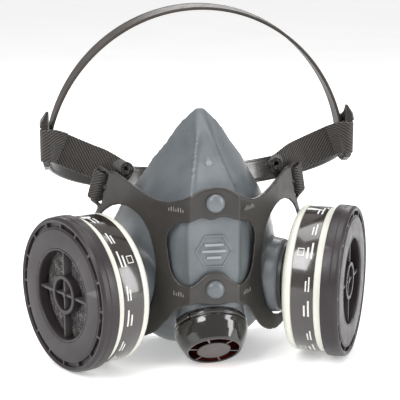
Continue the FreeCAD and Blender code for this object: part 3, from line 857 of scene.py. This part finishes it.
def label_marks(side_name):
    """Plain bars and small frames where a label would have its text."""
    radius = CARTRIDGE_RADIUS + 0.30
    points, faces = [], []

    def patch(turn, start, length, low, high):
        """A thin bent rectangle; turn and length along the rim, in degrees."""
        steps = max(2, int(length / 2))
        first = len(points)
        for i in range(steps + 1):
            angle = math.radians(turn + start + length * i / steps)
            for height, lift in ((low, 0.0), (low, 0.05), (high, 0.05), (high, 0.0)):
                reach = (radius - 0.03 + lift) * MM
                points.append((reach * math.cos(angle), reach * math.sin(angle), height * MM))
        for i in range(steps):
            a = first + 4 * i
            for k in range(4):
                n = (k + 1) % 4
                faces.append([a + k, a + n, a + 4 + n, a + 4 + k])
        faces.append([first, first + 1, first + 2, first + 3])
        last = first + 4 * steps
        faces.append([last + 3, last + 2, last + 1, last])

    for group in range(8):
        turn = 45.0 * group
        patch(turn, 2.0, 13.0, 16.4, 17.4)
        patch(turn, 2.0, 9.0, 18.8, 19.8)
        patch(turn, 22.0, 11.0, 16.4, 17.2)
        patch(turn, 22.0, 8.0, 18.2, 19.0)
        if group % 2 == 0:
            for low, high in ((21.4, 21.8), (24.8, 25.2)):
                patch(turn, 4.0, 6.0, low, high)
            for start in (4.0, 9.4):
                patch(turn, start, 0.6, 21.8, 24.8)
    obj = mesh_object("label_marks_" + side_name, points, faces)
    return outward(obj)


# ---- exhalation valve ------------------------------------------------------------------
GUARD_SEGMENTS = 160
WINDOWS = 6
WINDOW_INNER, WINDOW_OUTER = 9.7, 14.7
WINDOW_START, WINDOW_END = 2.7, 57.3
TAB_TURN = 145
DISC_RADIUS = 9.5


def make_guard():
    cover = lathe("outlet_cover", filleted([
        (0, GUARD_LENGTH - 0.5), (GUARD_NOSE_RADIUS - 1.4, GUARD_LENGTH - 0.5),
        (GUARD_NOSE_RADIUS - 1.0, GUARD_LENGTH), (GUARD_NOSE_RADIUS, GUARD_LENGTH),
        (GUARD_NOSE_RADIUS + 0.8, GUARD_LENGTH - 0.9), (19.2, 12.5), (20.9, 8.3),
        (GUARD_RADIUS - 0.2, 6.2), (GUARD_RADIUS, 5.6), (GUARD_RADIUS, 5.0),
        (GUARD_RADIUS - 0.6, 4.6), (GUARD_RADIUS - 0.6, 3.6), (GUARD_RADIUS, 3.2),
        (GUARD_RADIUS, 1.0), (GUARD_RADIUS - 0.7, 0.3), (19.7, 0.3), (19.7, 8.0), (17.6, 12.0),
        (15.2, GUARD_LENGTH - 2.0), (0, GUARD_LENGTH - 2.0)], 0.4), GUARD_SEGMENTS)
    window = ring_sector(WINDOW_INNER, WINDOW_OUTER, WINDOW_START, WINDOW_END)
    windows = [prism("window", spun(window, WINDOW_TURN + 60 * i), 10, 22)
               for i in range(WINDOWS)]
    combined(cover, joined(windows[0], windows[1:]), "DIFFERENCE")
    tab = prism("tab", spun(bar(GUARD_RADIUS - 1.5, GUARD_RADIUS + 1.3, -5, 5), TAB_TURN), 0.5, 4.3)
    whole = bevelled(joined(cover, [bevelled(tab, 0.6)]), 0.14, 40)
    piece(on_valve(whole), "exhalation_guard", "guard_plastic", materials["guard"],
          "exhalation_guard", sharp=35)
    disc = lathe("outlet_cover_disc", filleted([
        (0, GUARD_LENGTH - 0.6), (DISC_RADIUS, GUARD_LENGTH - 0.6),
        (DISC_RADIUS, GUARD_LENGTH - 0.15), (0, GUARD_LENGTH)], 0.3), 96)
    piece(on_valve(disc), "exhalation_guard", "guard_plastic", materials["guard_disc"], sharp=35)
    flap = lathe("outlet_flap", filleted([
        (0, 3.05), (14.6, 3.05), (14.6, 3.6), (10.0, 3.75), (4.0, 4.2), (2.6, 5.0),
        (0, 5.2)], 0.5), 96)
    piece(on_valve(flap), "exhalation_flap", "valve_rubber", materials["bright_red"],
          "exhalation_flap", sharp=50)


# ---- head harness ----------------------------------------------------------------------
CRADLE_HALF = 91.0
CRADLE_BAND = 16.0
CRADLE_THICK = 1.3
CROWN_RISE = 96.0
CROWN_BASE_Z = 110.0
CROWN_Y = 45.5
CROWN_LEAN = math.radians(6.0)
NAPE_DEPTH = 80.0
NAPE_SLOPE = math.radians(26.0)
NAPE_Z = 122.0
PLATE_THICK = 3.0
PLATE_INNER_X = CRADLE_HALF - 2.3
PLATE_OUTLINE = (
    (30.6, 114.0), (29.8, 127.0), (31.0, 138.5), (33.6, 145.8), (37.0, 142.0), (44.0, 139.0),
    (53.0, 136.0), (54.5, 122.0), (49.5, 112.5), (38.0, 110.5), (30.6, 114.0))
PLATE_SLOT = (35.3, 39.0, 115.5, 136.5)
LUG_HEIGHTS = (112, 116, 120, 135.4, 136.4, 140.5, 147.0)
LUG_THICKNESS = (3.2, 4.2, 3.2, 3.0, 5.5, 4.9, 0.9)


def crown_band():
    path, across = [], []
    for step in range(41):
        turn = math.radians(6 + 168 * step / 40)
        x = (CRADLE_HALF - 0.7) * math.cos(turn)
        z = CROWN_BASE_Z - NAPE_Z + (CROWN_RISE - 0.7) * math.sin(turn)
        path.append((x, CROWN_Y - z * math.sin(CROWN_LEAN), NAPE_Z + z * math.cos(CROWN_LEAN)))
        across.append((0, math.cos(CROWN_LEAN), math.sin(CROWN_LEAN)))
    return ribbon("crown_band", path, across, CRADLE_BAND, CRADLE_THICK, 4, bead=0.25)


def nape_band():
    path, across = [], []
    for step in range(41):
        turn = math.pi * step / 40
        x = (CRADLE_HALF - 0.7) * math.cos(turn)
        y = (NAPE_DEPTH - 0.7) * math.sin(turn)
        path.append((x, CROWN_Y + y * math.cos(NAPE_SLOPE), NAPE_Z - y * math.sin(NAPE_SLOPE)))
        across.append((0, math.sin(NAPE_SLOPE), math.cos(NAPE_SLOPE)))
    return ribbon("nape_band", path, across, CRADLE_BAND, CRADLE_THICK, 4, bead=0.25)


def cradle_end(side_name, side):
    """End plate with the strap slot; thicker below the slot and at its pointed top lug."""
    outline = curve_through([(y, z, 0) for y, z in PLATE_OUTLINE], 6)[:-1]
    plate = prism("cradle_end_" + side_name, [(p[0], p[1]) for p in outline], 0, PLATE_THICK)
    combined(plate, prism("slot", bar(*PLATE_SLOT), -2, 5), "DIFFERENCE")
    for vertex in plate.data.vertices:
        y, z, depth = vertex.co / MM
        vertex.co = at(PLATE_INNER_X + depth, y, z)
    outward(plate)
    remeshed(plate, 0.45, 3)
    for vertex in plate.data.vertices:
        x, z = vertex.co.x / MM, vertex.co.z / MM
        depth = (x - PLATE_INNER_X) / PLATE_THICK
        thick = float(np.interp(z, LUG_HEIGHTS, LUG_THICKNESS))
        vertex.co.x = (PLATE_INNER_X + depth * thick) * MM
    return on_side(plate, side)


def make_cradle():
    piece(crown_band(), "head_harness", "cradle_plastic", materials["cradle"], "head_cradle")
    piece(nape_band(), "head_harness", "cradle_plastic", materials["cradle_gloss"])
    for side_name, side in SIDES.items():
        piece(cradle_end(side_name, side), "head_harness", "cradle_plastic",
              materials["cradle_gloss"])


# ---- straps ----------------------------------------------------------------------------
ARM_CENTRE = Vector((58.0, 32.68, 99.0))
WING = Vector((math.cos(math.radians(50)), math.sin(math.radians(50)), 0))
WING_FRONT = Vector((WING.y, -WING.x, 0))
ARM_LEAN = math.radians(20)
ARM_OUT = WING * math.cos(ARM_LEAN) + Vector((0, 0, math.sin(ARM_LEAN)))
ARM_DOWN = WING * math.sin(ARM_LEAN) - Vector((0, 0, math.cos(ARM_LEAN)))


def strap_run():
    """From behind the yoke arm to the cradle, through its slot, round the bar and back inside."""
    path = [
        (46.0, 33.5, 103.0), (50.5, 36.0, 107.5), (55.5, 39.5, 110.6), (60, 42.0, 112.8),
        (66, 44.0, 115.0), (74, 42.6, 118.8), (82, 40.0, 122.8), (87.3, 38.0, 125.0),
        (90.3, 37.2, 125.8), (92.6, 36.0, 126.0), (93.4, 33.4, 126.0), (92.4, 30.4, 126.0),
        (90.0, 29.4, 126.0), (87.8, 30.8, 126.0), (85.4, 34.0, 125.2), (81.5, 37.4, 123.4),
    ]
    slanted = (-0.36, 0.0, 0.93)
    upright = (0.0, 0.0, 1.0)
    across = [(-0.62, 0.0, 0.78), (-0.5, 0.0, 0.87), *[slanted] * 5, (-0.15, 0, 0.98),
              *[upright] * 6, (-0.25, 0, 0.96), slanted]
    return ribbon("strap", path, across, STRAP_WIDTH, STRAP_THICK, 7)


def strap_wrap():
    """The loop round the bar of the yoke arm."""
    near, far, front, back = 2.2, 9.2, 1.15, -3.7
    middle = (near + far) / 2
    corners = [(near, front - 0.9), (near + 0.9, front), (middle, front + 0.15), (far - 0.9, front),
               (far, front - 0.9), (far, back + 0.9), (far - 0.9, back), (middle, back),
               (near + 0.9, back), (near, back + 0.9)]
    path = [ARM_CENTRE + ARM_OUT * out + WING_FRONT * depth for out, depth in corners]
    return ribbon("wrap", path, [ARM_DOWN] * len(path), STRAP_WIDTH, STRAP_THICK, 6, closed=True)


ROLL_X, ROLL_Y, ROLL_Z = 46.4, 31.5, 112.0
ROLL_STEPS = 19
ROLL_START, ROLL_STEP = -150, 40


def strap_roll():
    """The free end of the strap, rolled up, with its tail tucked in behind the arm."""
    path, across = [], []
    for step in range(ROLL_STEPS):
        turn = math.radians(ROLL_START + ROLL_STEP * step)
        radius = 1.1 + 0.15 * step
        path.append((ROLL_X + radius * math.cos(turn), ROLL_Y, ROLL_Z + radius * math.sin(turn)))
        across.append((0.25, 0.97, 0))
    x, _, z = path[-1]
    path += [(x + 2.6, 33.0, z - 3.2), (x + 5.5, 35.5, z - 5.5), (57.5, 37.0, 101.5)]
    across += [(0.35, 0.93, 0.1), (0.4, 0.9, 0.2), (0.4, 0.9, 0.2)]
    return ribbon("roll", path, across, STRAP_WIDTH * 0.7, STRAP_THICK * 0.85, 5)


def make_straps():
    for side_name, side in SIDES.items():
        run = strap_run()
        run.name = "strap_" + side_name
        on_side(run, side)
        run.data.materials.append(materials["strap"])
        shaded(run, 60)
        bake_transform(run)
        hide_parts("head_strap_" + side_name)
        wrap = strap_wrap()
        wrap.name = "strap_wrap_" + side_name
        piece(on_side(wrap, side), "mask", "strap_fabric", materials["strap"],
              "strap_loop_" + side_name, sharp=60)
        roll = strap_roll()
        roll.name = "strap_tail_" + side_name
        piece(on_side(roll, side), "mask", "strap_fabric", materials["strap"], sharp=60)


# ---- studio ----------------------------------------------------------------------------
FLOOR_HALF = 6
FLOOR_GLOW = 0.34
WORLD_STRENGTH = 0.6


def make_stage():
    corners = bar(-FLOOR_HALF, FLOOR_HALF, -FLOOR_HALF, FLOOR_HALF)
    floor = mesh_object("floor", [(x, y, 0) for x, y in corners], [[0, 1, 2, 3]])
    paint = Paint("pale_table", Specular_IOR_Level=0.2)
    paint.colour(paint.ramp(paint.noise(6.0), (0.4, (0.90, 0.90, 0.90)), (0.6, (0.93, 0.93, 0.93))))
    paint.shader.inputs["Roughness"].default_value = 0.7
    paint.shader.inputs["Emission Color"].default_value = (1, 1, 1, 1)
    paint.shader.inputs["Emission Strength"].default_value = FLOOR_GLOW
    floor.data.materials.append(paint.material)
    world = bpy.data.worlds.new("studio")
    world.use_nodes = True
    world.node_tree.nodes["Background"].inputs["Color"].default_value = (1, 1, 1, 1)
    world.node_tree.nodes["Background"].inputs["Strength"].default_value = WORLD_STRENGTH
    bpy.context.scene.world = world
    bpy.context.scene.view_settings.view_transform = "Standard"


def softbox(name, place, target, width, height, power):
    light = bpy.data.lights.new(name, "AREA")
    light.shape = "RECTANGLE"
    light.size = width
    light.size_y = height
    light.energy = power
    obj = bpy.data.objects.new(name, light)
    bpy.context.scene.collection.objects.link(obj)
    obj.location = place
    obj.rotation_euler = (target - Vector(place)).to_track_quat("-Z", "Y").to_euler()


def make_lights():
    middle = at(0, 0, 80)
    softbox("key", (-0.75, -0.75, 0.95), middle, 0.5, 0.7, 11.0)
    softbox("fill", (0.95, -0.65, 0.45), middle, 0.35, 0.8, 7.0)
    softbox("top", (0.0, 0.1, 1.3), middle, 0.9, 0.7, 8.0)
    softbox("back", (0.3, 1.2, 0.8), middle, 0.8, 0.6, 6.0)


AZIMUTH = math.radians(-9.9)
ELEVATION = math.radians(12.2)
DISTANCE = 0.70
AIM = (-5.75, 0, 97.5)
LENS = 110.3
SENSOR_WIDTH = 36.0


def make_camera():
    """Stands where the photo's camera was fitted."""
    camera = bpy.data.cameras.new("camera")
    camera.lens = LENS
    camera.sensor_width = SENSOR_WIDTH
    obj = bpy.data.objects.new("camera", camera)
    bpy.context.scene.collection.objects.link(obj)
    back = Vector((math.sin(AZIMUTH) * math.cos(ELEVATION),
                   -math.cos(AZIMUTH) * math.cos(ELEVATION), math.sin(ELEVATION)))
    obj.location = at(*AIM) + back * DISTANCE
    obj.rotation_euler = (-back).to_track_quat("-Z", "Y").to_euler()
    bpy.context.scene.camera = obj


make_camera()
make_stage()
make_lights()
finish_cad_nodes()
make_facepiece()
make_yoke()
make_guard()
make_cradle()
make_straps()
for side_name, side in SIDES.items():
    make_retainer(side_name, side)
    make_filter_pad(side_name, side)
    make_cartridge(side_name, side)
